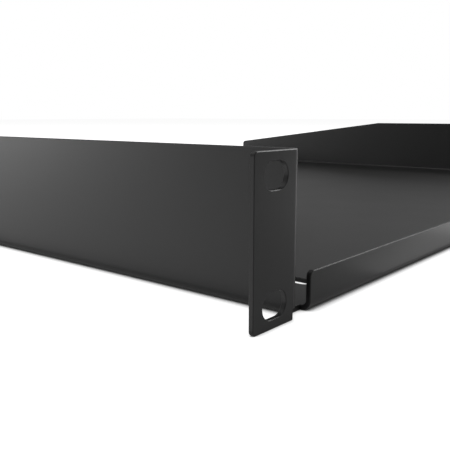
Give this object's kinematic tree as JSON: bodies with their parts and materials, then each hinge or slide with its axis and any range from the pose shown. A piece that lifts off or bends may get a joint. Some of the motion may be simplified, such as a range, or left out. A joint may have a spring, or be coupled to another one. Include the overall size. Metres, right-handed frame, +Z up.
{
  "type": "rack shelf",
  "caption": "Cantilever rack shelf one unit high, folded from one steel sheet: flat tray, side walls that fall to the rear, low lips and slotted mounting ears.",
  "frame": {"origin": "centre of the ears' four mounting slots, on the ears' rear face, which is the plane that meets the rack's rails", "axes": "+X across the rack, to the right of someone who faces the front; +Y into the rack, from the front to the rear of the shelf; +Z up"},
  "size_m": [0.4826, 0.364, 0.0436],
  "materials": {
    "powder_coat": "satin black powder coat on sheet steel"
  },
  "bodies": {
    "root": {"rack_shelf": "powder_coat"}
  },
  "joints": []
}
